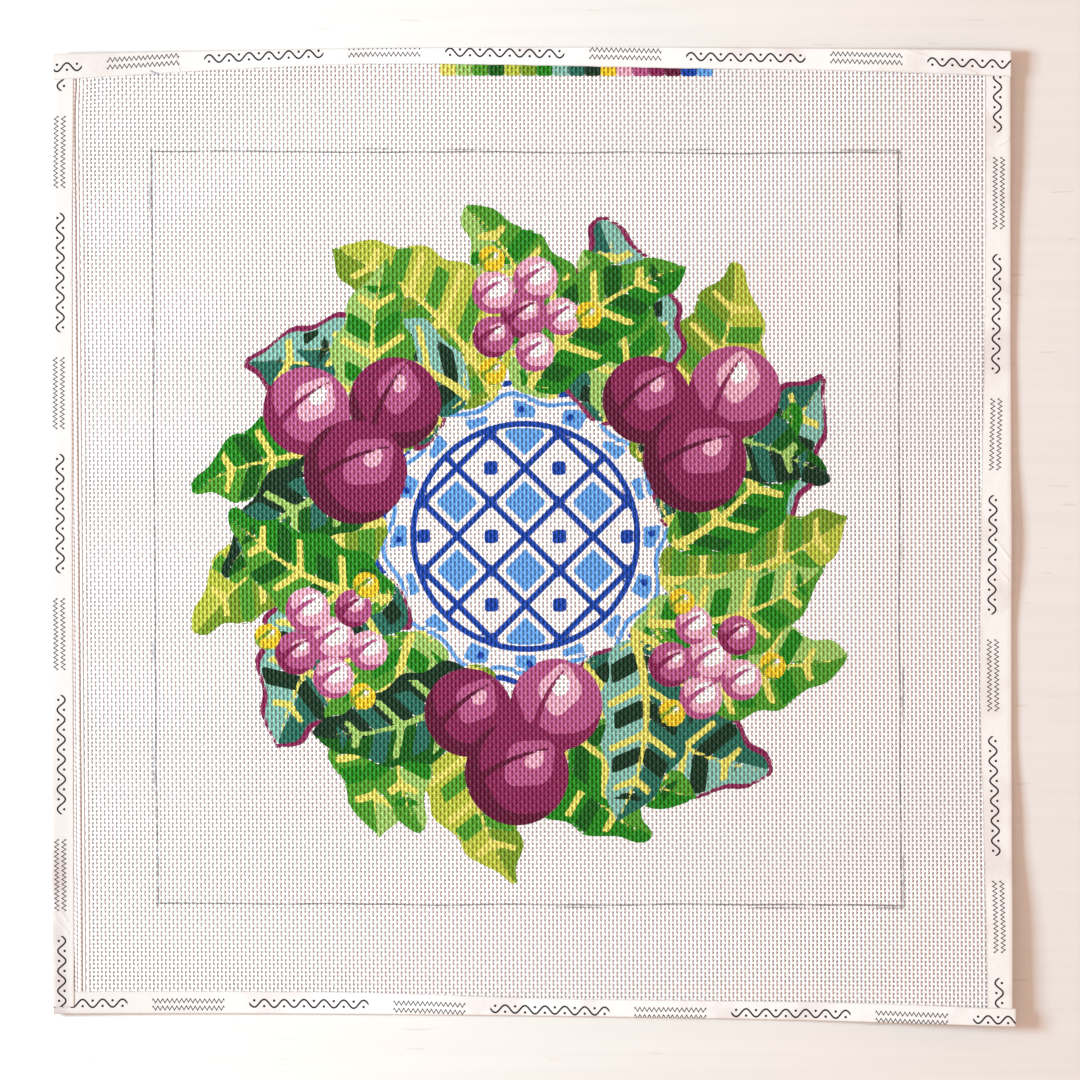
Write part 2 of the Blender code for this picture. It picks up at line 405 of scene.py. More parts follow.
# The picture, brushed on by hand, one crossing of the threads after another: a wreath of leaves, plums and
# berries round a blue trellis, with a key of all its paints at the top. Paint thickens the threads a little.
PAINTS = {
    "straw": (232, 226, 140),
    "leaf_pale": (186, 214, 140),
    "leaf_mid": (118, 182, 74),
    "leaf_deep": (24, 132, 22),
    "lime": (206, 212, 104),
    "olive": (158, 184, 72),
    "leaf_strong": (60, 165, 34),
    "teal_pale": (166, 206, 196),
    "teal": (70, 144, 128),
    "teal_deep": (16, 88, 58),
    "yellow": (238, 214, 70),
    "pink": (238, 196, 212),
    "mauve": (204, 124, 168),
    "plum": (170, 66, 124),
    "plum_deep": (138, 28, 92),
    "blue": (24, 104, 192),
    "blue_pale": (136, 186, 236),
}
UNDERLAP = 0.32
PAINT_BUILD = 0.08
KEY_FIRST_WARP = 72
KEY_FIRST_WEFT = 206
KEY_BLOCK = 4

# The picture is drawn on a grid of half threads
FINE = 2
warp_at, weft_at = np.meshgrid(
    FIRST_WARP + np.arange(WARPS * FINE) / FINE, FIRST_WEFT + np.arange(WEFTS * FINE) / FINE,
)
layers = {name: np.full(warp_at.shape, -2.0) for name in PAINTS}


def brush(paint, inside):
    """Cover a patch with one paint, or lift what is there when paint is None.

    inside is the distance in threads from the patch's edge, positive within it. What a new paint covers
    stays a little way under its edge, so that no bare thread shows between the two.
    """
    inside = np.clip(inside, -2.0, 2.0)
    for layer in layers.values():
        np.minimum(layer, (UNDERLAP if paint else 0.0) - inside, out=layer)
    if paint:
        np.maximum(layers[paint], inside, out=layers[paint])


def disc(centre, radius, squeeze=1.0, turn=0.0, wave=0.0, lobes=5, phase=0.0):
    """Distance inside a round patch, which may be squeezed, turned and wavy round its edge."""
    x, y = warp_at - centre[0], weft_at - centre[1]
    x, y = x * math.cos(turn) + y * math.sin(turn), y * math.cos(turn) - x * math.sin(turn)
    y = y / squeeze
    angle = np.arctan2(y, x)
    reach = radius * (1.0 + wave * np.sin(lobes * angle + phase))
    return (reach - np.hypot(x, y)) * min(1.0, squeeze)


def route(points):
    """Distance to the nearest point of a run of straight stretches, and how far along it that is."""
    nearest = np.full(warp_at.shape, 1e9)
    along = np.zeros(warp_at.shape)
    passed = 0.0
    for (x0, y0), (x1, y1) in zip(points[:-1], points[1:]):
        length = math.hypot(x1 - x0, y1 - y0)
        share = ((warp_at - x0) * (x1 - x0) + (weft_at - y0) * (y1 - y0)) / length**2
        share = np.clip(share, 0.0, 1.0)
        gap = np.hypot(warp_at - x0 - share * (x1 - x0), weft_at - y0 - share * (y1 - y0))
        closer = gap < nearest
        nearest = np.where(closer, gap, nearest)
        along = np.where(closer, passed + share * length, along)
        passed += length
    return nearest, along / passed


def bend(start, pull, end, steps=14):
    """Points on a smooth bend from start to end, drawn towards pull."""
    shares = [k / steps for k in range(steps + 1)]
    return [
        tuple((1 - t) ** 2 * a + 2 * t * (1 - t) * b + t**2 * c for a, b, c in zip(start, pull, end))
        for t in shares
    ]


def outlined(paint, inside, half_width=0.75):
    """A line along the edge of a patch, this many threads to each side of it."""
    brush(paint, half_width - np.abs(inside))


def leaf(base, tip, width, bow, paints, veins, ripple, phase, edge=None):
    """A broad leaf: two halves of unlike tone, darker fields between its veins, then the veins."""
    body, shade, deep, vein = paints
    length = math.hypot(tip[0] - base[0], tip[1] - base[1])
    ex, ey = (tip[0] - base[0]) / length, (tip[1] - base[1]) / length
    along = ((warp_at - base[0]) * ex + (weft_at - base[1]) * ey) / length
    side = (weft_at - base[1]) * ex - (warp_at - base[0]) * ey
    share = np.clip(along, 0.0, 1.0)
    side = side - bow * length * arch(share)
    half = width / 2 * np.sin(math.pi * share**0.72) ** 0.75
    half = half + ripple * np.sin(veins * 2 * math.pi * share + phase)
    outline = np.minimum(half - np.abs(side), np.minimum(along, 1 - along) * length * 1.6)
    if edge:
        brush(edge, outline + 1.2)
    brush(body, outline)
    brush(shade, np.minimum(outline, side - 0.2 + 0.8 * np.sin(9 * share + phase)))
    slant = share * veins - 0.55 * np.abs(side) / (width / 2)
    field = (np.cos(2 * math.pi * (slant - 0.42)) - 0.30) * length / veins / 3.2
    field = np.minimum(field, width * 0.34 - np.abs(side) + 0.8 * np.sin(7 * share + phase))
    brush(deep, np.minimum(outline - 0.6, np.minimum(field, (0.86 - share) * length)))
    rib = (np.cos(2 * math.pi * slant) - 0.84) * length / veins / 1.6 + 0.25
    reach = np.minimum(outline - 1.6, (0.88 - share) * length)
    brush(vein, np.minimum(rib, reach))
    brush(vein, np.minimum(1.55 - 1.15 * share - np.abs(side), np.minimum(along, 0.95 - along) * length))


def fruit(centre, radius, paints, turn):
    """A round fruit: shaded on one side, lit on the other, with a soft cleft."""
    body, shade, light, gleam = paints
    cx, cy = centre
    dx, dy = math.cos(turn), math.sin(turn)
    whole = disc(centre, radius)
    brush(body, whole)
    away = disc((cx + dx * radius * 0.34, cy + dy * radius * 0.34), radius * 0.98, 1.0, 0.3, 0.03, 5, turn)
    brush(shade, np.minimum(whole, -away))
    lit = disc((cx + dx * radius * 0.30, cy + dy * radius * 0.34), radius * 0.56, 0.82, turn, 0.08, 4, 1.0)
    brush(light, np.minimum(whole - 0.8, lit))
    spark = disc((cx + dx * radius * 0.42, cy + dy * radius * 0.44), radius * 0.24, 0.7, turn, 0.05, 3, 0.4)
    brush(gleam, np.minimum(whole - 1.0, spark))
    start = (cx - dx * radius * 0.9 - dy * radius * 0.3, cy - dy * radius * 0.9 + dx * radius * 0.3)
    pull = (cx - dy * radius * 0.42, cy + dx * radius * 0.42)
    gap, share = route(bend(start, pull, (cx + dx * radius * 0.86, cy + dy * radius * 0.86)))
    brush(shade, np.minimum(whole - 0.3, 1.0 - 0.75 * share - gap))


MIDDLE = (92.0, 91.0)
PLAQUE = 37.0
PLAQUE_SCALLOPS = 12
TRELLIS = 28.0
TRELLIS_CELL = 17.0
RING = 57.0


def polar(angle, radius):
    """A point this far from the middle of the picture, at an angle in degrees."""
    turn = math.radians(angle)
    return MIDDLE[0] + radius * math.cos(turn), MIDDLE[1] + radius * math.sin(turn)


# The plaque in the middle: a blue trellis on bare canvas, in a scalloped frame of blue blocks
plaque = disc(MIDDLE, PLAQUE, 1.0, 0.0, 0.035, PLAQUE_SCALLOPS, 0.4)
outlined("blue", plaque)
outlined("blue_pale", plaque - 2.6, 0.6)
inner = disc(MIDDLE, TRELLIS)
angle = np.arctan2(weft_at - MIDDLE[1], warp_at - MIDDLE[0])
block = np.minimum(plaque - 4.2, -inner - 1.6)
block = np.minimum(block, (np.cos(angle * 16) - 0.15) * 2.4)
brush("blue_pale", block)
brush("blue", np.minimum(block - 0.9, (np.sin(angle * 16) + 0.1) * 3.0))
outlined("blue", inner)
rising = (warp_at - MIDDLE[0] - weft_at + MIDDLE[1]) / TRELLIS_CELL
falling = (warp_at - MIDDLE[0] + weft_at - MIDDLE[1]) / TRELLIS_CELL
near_rising = np.abs((rising + 0.5) % 1.0 - 0.5) * TRELLIS_CELL
near_falling = np.abs((falling + 0.5) % 1.0 - 0.5) * TRELLIS_CELL
filled = (np.floor(rising) + np.floor(falling)) % 2 > 0
flower = 2.4 - (np.abs(near_rising - TRELLIS_CELL / 2) + np.abs(near_falling - TRELLIS_CELL / 2)) * 0.7
pane = np.minimum(near_rising, near_falling) * 0.7 - 2.2
brush("blue_pale", np.where(filled, np.minimum(inner - 1.0, pane), -2.0))
brush("blue", np.where(filled, -2.0, np.minimum(inner - 1.0, flower)))
brush("blue", np.minimum(inner - 0.3, 0.75 - np.minimum(near_rising, near_falling) * 0.7))

# The ring of leaves, back ones first
GREEN = ("leaf_strong", "leaf_mid", "leaf_deep", "straw")
FRESH = ("leaf_mid", "leaf_pale", "leaf_strong", "straw")
SPRING = ("lime", "olive", "leaf_mid", "straw")
SEA = ("teal_pale", "teal", "teal_deep", "straw")
FOREST = ("teal_deep", "leaf_deep", "teal", "leaf_pale")
BACK_LEAVES = (
    SEA, SPRING, SEA, FRESH, SPRING, SEA, GREEN, SPRING, SEA, FRESH, SPRING, GREEN, SEA, FRESH, SPRING,
)
for k, paints in enumerate(BACK_LEAVES):
    place = 12 + k * 360 / len(BACK_LEAVES)
    tip = polar(place + 16, RING + 27 + 3 * math.sin(2.1 * k))
    edge = "plum" if paints is SEA else None
    leaf(polar(place - 6, RING - 22), tip, 28 + 2 * math.sin(1.7 * k), -0.10, paints, 5, 0.9, k * 1.3, edge)

FRONT_LEAVES = (GREEN, FOREST, FRESH, GREEN, SEA, FRESH, FOREST, GREEN, FRESH, FOREST, GREEN, SEA, FRESH)
for k, paints in enumerate(FRONT_LEAVES):
    place = 2 + k * 360 / len(FRONT_LEAVES) + 5 * math.sin(1.9 * k)
    lean = -24 if k % 2 else 24
    tip = polar(place + lean, RING + 19 + 3 * math.sin(2.6 * k))
    bow = 0.11 if lean < 0 else -0.11
    leaf(polar(place - lean / 4, RING - 20), tip, 22, bow, paints, 4, 0.8, 2 + k * 0.9)

# Fruit in three clusters, and berries between them
DUSK = ("plum", "plum_deep", "mauve", "pink")
ROSE = ("mauve", "plum", "pink", None)
BLUSH = ("pink", "mauve", None, None)
GOLD = ("yellow", "olive", "straw", None)
for k, place in enumerate((34, 150, 266)):
    x, y = polar(place, RING - 7)
    fruit((x - 11, y + 6), 11.0, ROSE if k == 1 else DUSK, 0.9)
    fruit((x + 11, y + 8), 11.5, DUSK if k == 1 else ROSE, 1.3)
    fruit((x + 1, y - 9), 13.0, DUSK, 0.6)
for k, place in enumerate((90, 208, 326)):
    x, y = polar(place, RING - 2)
    for n in range(6):
        turn = 1.25 * n + k
        reach = 9.5 if n else 0.0
        berry = (x + reach * math.cos(turn), y + reach * math.sin(turn))
        fruit(berry, 5.8 - 0.22 * n, ROSE if (n + k) % 3 == 0 else BLUSH, 0.8)
    for n in range(3):
        fruit((x + 16 * math.cos(2.1 * n + k), y + 16 * math.sin(2.1 * n + k)), 3.4, GOLD, 0.8)

# The key: one block of each paint, side by side
for k, paint in enumerate(PAINTS):
    past_middle = np.abs(warp_at - KEY_FIRST_WARP - (k + 0.5) * KEY_BLOCK + 0.5)
    brush(paint, np.minimum(KEY_BLOCK / 2 - past_middle, weft_at - KEY_FIRST_WEFT + 0.5))


def paint_at(layer, u, v):
    """How far inside a paint's patch a place in the weave is."""
    rows, columns = layer.shape
    column = np.clip((u - FIRST_WARP) * FINE, 0.0, columns - 1.001)
    row = np.clip((v - FIRST_WEFT) * FINE, 0.0, rows - 1.001)
    left, low = column.astype(int), row.astype(int)
    lower = lerp(layer[low, left], layer[low, left + 1], column - left)
    upper = lerp(layer[low + 1, left], layer[low + 1, left + 1], column - left)
    return lerp(lower, upper, row - low)


covered = np.max(list(layers.values()), axis=0)


def keep_paints(mesh, u, v):
    """Store on each point its place in the weave, and how far it is inside each paint's patches."""
    keep_values(mesh, "grid_place", np.stack([u, v, np.zeros(len(u))], axis=1))
    for paint, layer in layers.items():
        keep_values(mesh, paint, paint_at(layer, u, v))


# The woven canvas itself, in six bands of painted cotton threads that meet edge to edge. Each is woven flat
# and painted, and is then laid over the shape that the canvas lies in.
cotton = bpy.data.materials.new("painted_cotton_canvas")
cotton.use_nodes = True
MAP_GAP = 0.4
MAP_THREAD = 0.46
MAP_CAP = 0.2


def keep_layout(mesh, layout):
    """Store a mesh's own flat map, with a place for each corner of its faces."""
    mesh.uv_layers.new(name="OFBake").data.foreach_set("uv", layout.astype(np.float32).ravel())


def map_threads(mesh, first, count):
    """Lay the threads out flat in their own map: warps' tops, wefts' tops, then both undersides."""
    corners = np.empty(len(mesh.loops), np.int32)
    mesh.loops.foreach_get("vertex_index", corners)
    corners = corners.reshape(-1, 4)
    crossing = values_of(mesh, "crossing", 3)[corners]
    across = values_of(mesh, "across")[corners]
    height = values_of(mesh, "height")[corners]
    is_warp = values_of(mesh, "warp")[corners] > 0.5
    is_cap = np.ptp(height, axis=1) > 1.5
    below = height.mean(axis=1) < 0
    column = crossing[:, :, 0] - FIRST_WARP + 0.5 + np.where(is_warp, across * MAP_THREAD, 0.0)
    row = crossing[:, :, 1] - first + 0.5 + np.where(is_warp, 0.0, across * MAP_THREAD)
    strip = np.where(is_warp, 0, 1) + np.where(below, 2, 0)[:, None]
    row = row + strip * (count + MAP_GAP)
    cap_row = 4 * (count + MAP_GAP) + 0.3 + np.where(crossing[:, :, 1] > first + count / 2, 0.6, 0.0)
    cap_column = np.where(is_warp, crossing[:, :, 0] - FIRST_WARP + 0.25, crossing[:, :, 1] - first + 0.75)
    far_end = crossing[:, :, 0] > FIRST_WARP + WARPS / 2
    cap_column = np.where(~is_warp & far_end, cap_column + count + 2, cap_column)
    column = np.where(is_cap[:, None], cap_column + across * MAP_CAP, column)
    row = np.where(is_cap[:, None], cap_row + height * MAP_CAP, row)
    keep_layout(mesh, np.stack([column / (WARPS + 0.2), row / (4 * (count + MAP_GAP) + 1.4)], axis=-1))


for number in range(BANDS):
    first = FIRST_WEFT + round(number * WEFTS / BANDS)
    last = FIRST_WEFT + round((number + 1) * WEFTS / BANDS)
    pattern = plain_object(f"weave_{number + 1}", bpy.data.meshes.new("empty"))
    modifier = pattern.modifiers.new("weave", "NODES")
    modifier.node_group = weave
    for name, value in WEAVE_SIZES.items():
        modifier[WEAVE_INPUTS[name]] = value
    modifier[WEAVE_INPUTS["First Weft"]] = first
    modifier[WEAVE_INPUTS["Wefts"]] = last - first
    modifier[WEAVE_INPUTS["Cotton"]] = cotton
    seen = bpy.context.evaluated_depsgraph_get()
    mesh = bpy.data.meshes.new_from_object(pattern.evaluated_get(seen))
    bpy.data.objects.remove(pattern)

    # Paint thickens the threads a little, and the selvedge's warps are wide and full
    points = np.empty(len(mesh.vertices) * 3, np.float32)
    mesh.vertices.foreach_get("co", points)
    points = points.reshape(-1, 3).astype(float)
    crossing = values_of(mesh, "crossing", 3)
    u, v = crossing[:, 0], crossing[:, 1]
    thickened = 1.0 + PAINT_BUILD * smooth(paint_at(covered, u, v) + 0.5)
    is_warp = values_of(mesh, "warp") > 0.5
    seen_warp = is_warp & (u > SEEN_WARPS[0] - 0.5)
    spread = np.where(seen_warp & (u < SELVEDGE_WARP + 2.4), BESIDE_SELVEDGE, thickened)
    spread = np.where(seen_warp & (u < SELVEDGE_WARP + 0.4), SELVEDGE_SPREAD, spread)
    flat_u = u + (points[:, 0] / PITCH - u) * spread
    flat_v = v + (points[:, 1] / PITCH - v) * thickened
    keep_paints(mesh, flat_u, flat_v)
    x, y = within_outline(flat_u, flat_v)
    points[:, 0], points[:, 1] = x, y
    flank = 1.0 - np.abs(values_of(mesh, "height"))
    fade = np.clip((SELVEDGE_WARP + SELVEDGE_FADE - u) / SELVEDGE_FADE, 0.0, 1.0)
    points[:, 2] += seen_warp * fade * SELVEDGE_FULL * flank * THREAD_DEPTH / 2
    points[:, 2] += underside(x, y) + MID_HEIGHT
    mesh.vertices.foreach_set("co", points.astype(np.float32).ravel())
    map_threads(mesh, first, last - first)
    mesh.update()
    band = plain_object(f"woven_canvas_{number + 1}", mesh)
    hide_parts("canvas")
    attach(band, "root")

# Where paint was brushed on, it also dried across the holes between the threads. It is one thin skin half
# way down them, and carries the same patches as the threads round it. It takes the deep tone of each paint,
# so it is painted shade in the holes as well as paint.
SKIN_DEPTH = 0.00022
SKIN_FROM = 0.15
hole_u, hole_v = np.meshgrid(
    FIRST_WARP + 0.5 + np.arange(SEEN_WARPS[1] - FIRST_WARP),
    FIRST_WEFT + 0.5 + np.arange(SEEN_WEFTS[1] - FIRST_WEFT),
)
cell_v, cell_u = np.nonzero(paint_at(covered, hole_u, hole_v) > SKIN_FROM)
corner_u = cell_u[:, None] + np.array([0, 1, 1, 0])
corner_v = cell_v[:, None] + np.array([0, 0, 1, 1])
corner_at, faces = np.unique(corner_v * (WARPS + 1) + corner_u, return_inverse=True)
u = corner_at % (WARPS + 1) + float(FIRST_WARP)
v = corner_at // (WARPS + 1) + float(FIRST_WEFT)
x, y = within_outline(u, v)
points = np.stack([x, y, underside(x, y) + MID_HEIGHT - SKIN_DEPTH], axis=1)
mesh = bpy.data.meshes.new("paint_and_hole_shade_skin")
mesh.from_pydata(points.tolist(), [], faces.reshape(-1, 4).tolist())
keep_paints(mesh, u, v)
keep_layout(mesh, np.stack([(u - FIRST_WARP) / WARPS, (v - FIRST_WEFT) / WEFTS], axis=1)[faces.ravel()])
mesh.materials.append(cotton)
mesh.shade_smooth()
skin = plain_object("paint_and_hole_shade_skin", mesh)
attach(skin, "root")

# Bare cotton is off-white and dull, with painted shade down the flanks of its threads. Paint is thin and pale
# on top of a thread and deep down its flanks: partly the paint itself, partly painted highlight on the tops
# and painted shade on the flanks. Slanted ribs bind the selvedge, with painted shade in the gaps between
# them.
# The numbers of cells are to the metre.
BARE = (0.96, 0.95, 0.96)
# The next two tones are painted shade: down the flanks of the threads, and in the gaps between the selvedge's
# ribs
FLANK_SHADE = (0.945, 0.905, 0.925)
SELVEDGE_GAP_SHADE = (0.46, 0.36, 0.32)
SELVEDGE_SLANT = 0.45
PENCIL = (0.14, 0.10, 0.10)
PENCIL_WIDTH = 0.20
PENCIL_WANDER = 1.5


def linear(shade):
    """A colour as it is mixed from light, from its usual 0 to 255 form."""
    shares = (c / 255 for c in shade)
    return tuple(c / 12.92 if c < 0.0404 else ((c + 0.055) / 1.055) ** 2.4 for c in shares) + (1.0,)


def attribute(tree, name, output=2):
    """A value kept on the mesh's points."""
    return node(tree, "ShaderNodeAttribute", {"attribute_name": name}, (), output)


def mixed(tree, share, first, second):
    """Two colours mixed."""
    return node(tree, "ShaderNodeMix", {"data_type": "RGBA"}, {"Factor": share, 6: first, 7: second}, 2)


def step_at(value, edge, width):
    """0 below an edge and 1 above it, with a soft change of this width."""
    return node(value.tree, "ShaderNodeMapRange", {"interpolation_type": "SMOOTHSTEP"},
                {"Value": value, "From Min": edge - width / 2, "From Max": edge + width / 2})


def noise(tree, place, scale, detail=2.0):
    """Even noise round 0.5 at so many cells to the unit of its place."""
    return node(tree, "ShaderNodeTexNoise", {}, {"Vector": place, "Scale": scale, "Detail": detail})


tree = cotton.node_tree
shader = tree.nodes["Principled BSDF"]
place = node(tree, "ShaderNodeTexCoord", {}, (), 3)
u, v = parts_of(tree, attribute(tree, "grid_place", 1))
height = attribute(tree, "height")
across = attribute(tree, "across")
warp = attribute(tree, "warp")
mottled = noise(tree, place, 900.0, 3.0)
patchy = noise(tree, place, 60.0)
on_top = step_at(height, 0.38, 0.7)

cotton_tone = mixed(tree, step_at(patchy, 0.5, 0.5), (*(0.965 * c for c in BARE), 1), (*BARE, 1))
selvedge = step_at(0 - u, -SELVEDGE_WARP - 0.55, 0.1)
cord = ((v * 0.86 + u * SELVEDGE_SLANT + 0.5).math("FLOORED_MODULO", 1.0) - 0.5).math("ABSOLUTE")
between_cords = step_at(cord, 0.37, 0.16) * selvedge
# Painted shade down the flanks of the threads, and in the gaps between the selvedge's ribs
cotton_tone = mixed(tree, (1 - on_top) * 0.8, cotton_tone, (*FLANK_SHADE, 1))
cotton_tone = mixed(tree, between_cords * 0.8, cotton_tone, (*SELVEDGE_GAP_SHADE, 1))
colour = cotton_tone
painted = None
# Each paint is pale on the thread tops, a painted highlight as well as thin paint, and deep down the flanks
# and on the skin over the holes, painted shade as well as pooled paint
for paint, shade in PAINTS.items():
    mask = step_at(attribute(tree, paint) + (mottled - 0.5) * 0.25, 0.0, 0.14)
    full = linear(shade)[:3]
    deep = (*(c**1.5 for c in full), 1.0)
    pale = (*(lerp(min(1.0, 1.6 * c), 0.95, 0.26) for c in full), 1.0)
    colour = mixed(tree, mask, colour, mixed(tree, on_top, deep, pale))
    painted = mask if painted is None else painted.math("MAXIMUM", mask)
thin = step_at(mottled, 0.66, 0.16) * painted * on_top * 0.25
colour = mixed(tree, thin, colour, cotton_tone)

# The pencil box, ruled once all round and in places a second time, a little off the grain. The point
# slid along the sides of the threads and hardly marked their tops.
edge_u = (u - BOX_WARPS / 2 + 0.5).math("ABSOLUTE")
edge_v = (v - BOX_WEFTS / 2 + 0.5).math("ABSOLUTE")
again = step_at(noise(tree, place, 21.0, 1.0), 0.57, 0.10)
pencil = None
for off, wavelength, strength in ((0.0, 16.0, 1.0), (0.6, 9.0, again * 0.75)):
    stray = (noise(tree, place, wavelength) - 0.5) * PENCIL_WANDER
    for from_line, along_edge, half, other_half in (
        (edge_u, edge_v, BOX_WARPS / 2, BOX_WEFTS / 2),
        (edge_v, edge_u, BOX_WEFTS / 2, BOX_WARPS / 2),
    ):
        near = (from_line - half - off + stray).math("ABSOLUTE")
        ruled = (1 - step_at(near, PENCIL_WIDTH, 0.3)) * strength
        ruled = ruled * (1 - step_at(along_edge, other_half + 0.6, 0.2))
        pencil = ruled if pencil is None else pencil.math("MAXIMUM", ruled)
faint = step_at(noise(tree, place, 130.0), 0.42, 0.3)
pencil = pencil * (0.32 + 0.50 * faint) * (1 - 0.62 * on_top)
colour = mixed(tree, pencil, colour, (*PENCIL, 1))
tree.links.new(colour.socket, shader.inputs["Base Color"])

roughness = 0.82 - painted * 0.34 + (mottled - 0.5) * 0.14
tree.links.new(roughness.socket, shader.inputs["Roughness"])
run = u + warp * (v - u)
twist = ((run * 3.0 + across * 0.35) * 2 * math.pi).math("SINE")
fibres = noise(tree, place, 5200.0, 2.0)
relief = twist * 0.35 * (1 - painted * 0.6) + (fibres - 0.5) * 1.2 + (mottled - 0.5) * 0.8
relief = relief + (0.5 - cord) * selvedge * 6.0
bump = node(tree, "ShaderNodeBump", {}, {"Strength": 0.35, "Distance": 0.00006, "Height": relief})
tree.links.new(bump.socket, shader.inputs["Normal"])
shader.inputs["Specular IOR Level"].default_value = 0.35


# The binding: soft white cotton tape one inch wide, folded over each cut edge and held flat by its own
# glue. The right strip went on first, then the bottom, the left and the top, each over the end of the last.
TAPE_WIDTH = 0.0254
TAPE_THICK = 0.00022
TAPE_LAYER = 0.00035
TAPE_INNER = 0.00050
TAPE_MIDDLE = 0.00045
FOLD_REACH = 0.00045
FOLD_LENGTH = 0.0014
LOWER_SHORT = 0.0005
EDGE_UNEVEN = 0.00012
COCKLE = 0.00006
RAMP_START = 0.002
RAMP_LENGTH = 0.014
STATIONS = 160
UPPER_STEPS, FOLD_STEPS, LOWER_STEPS = 7, 6, 4
MAP_ROWS = 8
SOLID_TAPE_THICK = 0.0003

# Each strip: its cover, the widths of the strips under its start and end, how far its ends pass the
# canvas, and where the middle of its first printed run is
PAST = FOLD_REACH + SOLID_TAPE_THICK
STRIPS = {
    "right": (RIGHT_COVER, (0.0, 0.0), (-0.0005, 0.0), 0.1080),
    "bottom": (BOTTOM_COVER, (0.0, 0.0142), (0.0, PAST + 0.0012), -0.1085),
    "left": (LEFT_COVER, (0.0120, 0.0), (-0.0030, 0.0), 0.1280),
    "top": (TOP_COVER, (0.0164 + PAST, 0.0144 + PAST), (PAST, PAST), -0.1304),
}


def ripple(along, seed, wavelength):
    """An uneven wave from -1 to 1, the same each time for one seed."""
    turn = 2 * math.pi * along / wavelength
    return (np.sin(turn + seed) + np.sin(turn * 1.73 + 2.1 * seed) + np.sin(turn * 2.91 + 3.7 * seed)) / 3


